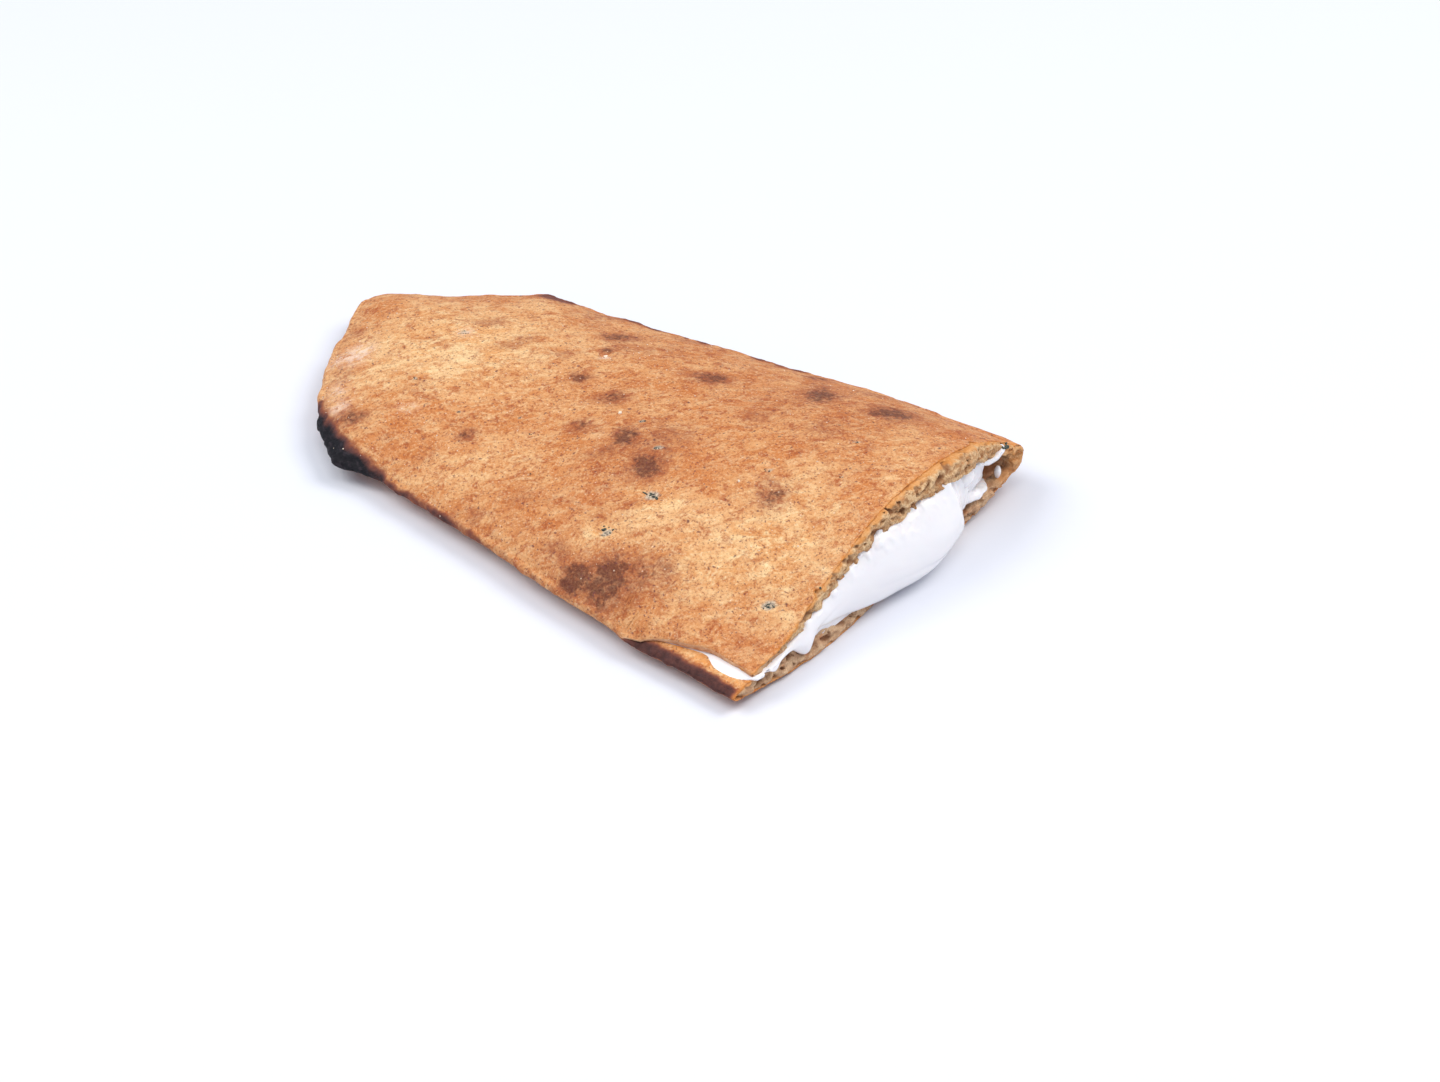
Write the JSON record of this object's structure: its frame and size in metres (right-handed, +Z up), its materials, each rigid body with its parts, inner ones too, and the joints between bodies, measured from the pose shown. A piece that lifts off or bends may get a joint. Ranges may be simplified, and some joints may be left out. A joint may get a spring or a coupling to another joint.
{
  "type": "labneh and zaatar sandwich",
  "caption": "Half of a toasted pocket flatbread sandwich, cut straight across, with thick white labneh bulging from the cut and showing in a torn edge.",
  "frame": {"origin": "on the table, under the middle of the sandwich's bounding box", "axes": "+X points out of the cut face, along the length; +Y from the torn front edge to the folded back edge; +Z up"},
  "size_m": [0.1924, 0.1162, 0.027],
  "materials": {
    "bread": "golden brown, dry baked crust with dark scorched spots and a beige porous crumb",
    "labneh": "white, moist and softly glossy"
  },
  "bodies": {
    "root": {"bread": "bread", "labneh": "labneh"}
  },
  "joints": []
}
